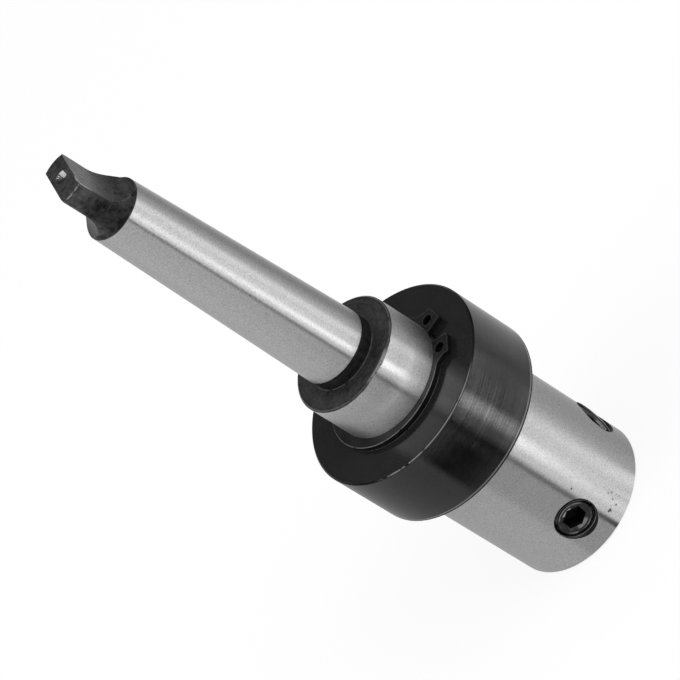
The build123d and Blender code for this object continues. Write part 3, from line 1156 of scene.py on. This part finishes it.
screw_black = new_material("screw_black")
tree = screw_black.node_tree
finish = place(tree, cloudy, Cloud_Scale=350.0, Speck_Scale=4000.0)
patches = ramp(tree, noise(tree, object_place(tree), scale=420.0, detail=2.0), 0.36, 0.52)
x, y, z = object_xyz(tree)
across = math_node(tree, "MINIMUM", math_node(tree, "ABSOLUTE", x), math_node(tree, "ABSOLUTE", y))
rise = math_node(tree, "SUBTRACT", z, screw_axis_z)
off = length(tree, across, rise)
upwards = math_node(tree, "DIVIDE", rise, off)
above_or_below = ramp(tree, math_node(tree, "ABSOLUTE", upwards), 0.25, 0.6)
# Painted highlights on the screw's chamfer and round its socket's mouth, above and below.
wear_and_highlight = 0.0
for line_radius, width, share in chamfer_highlight_lines:
    away = math_node(tree, "ABSOLUTE", math_node(tree, "SUBTRACT", off, line_radius))
    line = ramp(tree, away, width * 0.3, width, 1.0, 0.0)
    wear_and_highlight = largest(tree, wear_and_highlight, product(tree, line, above_or_below, patches, share))
at_mouth = window(tree, off, *mouth_band)
for low, high, share in mouth_highlights:
    wear_and_highlight = largest(tree, wear_and_highlight, product(tree, at_mouth, ramp(tree, upwards, low, high), share))
tone = varied(tree, screw_grey, (finish["Clouds"], 0.4), (finish["Specks"], 0.3))
surface(
    tree,
    Base_Color=as_colour(tree, blend(tree, wear_and_highlight, tone, screw_highlight_grey)),
    Roughness=varied(tree, screw_roughness, (finish["Clouds"], 0.2)),
    Normal=bump(tree, finish["Specks"], 0.000006),
)

# The socket's walls are painted darker still, as shade in the recess.
socket_black = new_material("socket_black")
tree = socket_black.node_tree
finish = place(tree, cloudy, Cloud_Scale=500.0, Speck_Scale=4000.0)
surface(
    tree,
    Base_Color=as_colour(tree, varied(tree, socket_shade_grey, (finish["Clouds"], 0.4))),
    Roughness=varied(tree, socket_roughness, (finish["Clouds"], 0.2)),
    Specular_IOR_Level=socket_specular,
    Normal=bump(tree, finish["Specks"], 0.000006),
)

# The thread in each hole is tapped in the arbor's own steel; its roots are painted dark as shade, and its
# crests light as painted highlights.
tapped_steel = new_material("tapped_steel")
tree = tapped_steel.node_tree
finish = place(tree, cloudy, Cloud_Scale=300.0, Speck_Scale=4000.0)
crest_highlights = place(tree, edge_line_mask, Width=0.00015, Coverage=0.9, Patch_Scale=600.0)["Mask"]
tone = blend(tree, crest_highlights, thread_root_shade_grey, thread_crest_highlight_grey)
tone = varied(tree, tone, (finish["Clouds"], 0.3), (finish["Specks"], 0.2))
surface(
    tree,
    Base_Color=as_colour(tree, tone),
    Metallic=0.5,
    Roughness=varied(tree, cut_roughness, (finish["Specks"], 0.15)),
    Normal=bump(tree, finish["Specks"], 0.000004),
)


def hexagon_radius(angle):
    """Distance from the middle of the hexagon to its side."""
    part = (angle - hexagon_turn) % (math.pi / 3) - math.pi / 6
    return hexagon_width / 2 / math.cos(part)


def round_ring(radius_at, z):
    angles = [2 * math.pi * k / round_points for k in range(round_points)]
    return [(radius_at(a) * math.cos(a), radius_at(a) * math.sin(a), z) for a in angles]


def thread_radius(angle, z):
    """Outside of the screw: a 60 degree thread, cut down by the cup's and the face's chamfers."""
    phase = (z / thread_pitch - angle / (2 * math.pi)) % 1.0
    tooth = min(max((0.5 - abs(phase - 0.5)) * 2 * flank_gain - root_flat, 0.0), 1.0)
    r = root_radius + (crest_radius - root_radius) * tooth
    return min(r, cup_radius + z, face_edge_radius + (screw_length - z))


def set_screw(name, place_it):
    """A screw from its cup point to its face, and down into its socket."""
    rings = [round_ring(lambda a: cup_tip_radius, cup_radius * 0.5)]
    rings.append(round_ring(lambda a: cup_radius, 0.0))
    for i in range(1, screw_steps + 1):
        z = screw_length * i / screw_steps
        rings.append(round_ring(lambda a: thread_radius(a, z), z))
    rings.append(round_ring(lambda a: hexagon_mouth_radius, screw_length))
    socket_from = (len(rings) - 1) * round_points
    rings.append(round_ring(hexagon_radius, screw_length - hexagon_lead_in))
    rings.append(round_ring(hexagon_radius, screw_length - hexagon_depth))
    rings.append(round_ring(lambda a: socket_tip_radius, screw_length - hexagon_depth - socket_tip_depth))
    screw = loft(name, [[place_it @ Vector(p) for p in ring] for ring in rings])
    screw.data.materials.append(screw_black)
    screw.data.materials.append(socket_black)
    for polygon in screw.data.polygons:
        if min(polygon.vertices) >= socket_from + round_points:
            polygon.material_index = 1
    shade(screw, 32)
    return screw


for number, side_angle in enumerate((0, 90), start=1):
    outwards = (
        Matrix.Rotation(math.radians(side_angle), 4, "Z")
        @ Matrix.Translation((0, 0, screw_axis_z))
        @ Matrix.Rotation(math.radians(90), 4, "Y")
    )
    into_hole = outwards @ Matrix.Translation((0, 0, screw_face_r - screw_length))
    screw = set_screw(f"set_screw_{number}", into_hole)
    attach(screw, f"clamp_screw_{number}")
    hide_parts(f"clamp_screw_{number}")
    hole_thread = thread_ridge(
        f"screw_hole_thread_{number}",
        screw_hole_radius,
        hole_thread_depth,
        thread_pitch,
        *hole_thread_run,
        outwards,
    )
    hole_thread.data.materials.append(tapped_steel)
    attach(hole_thread, "arbor")
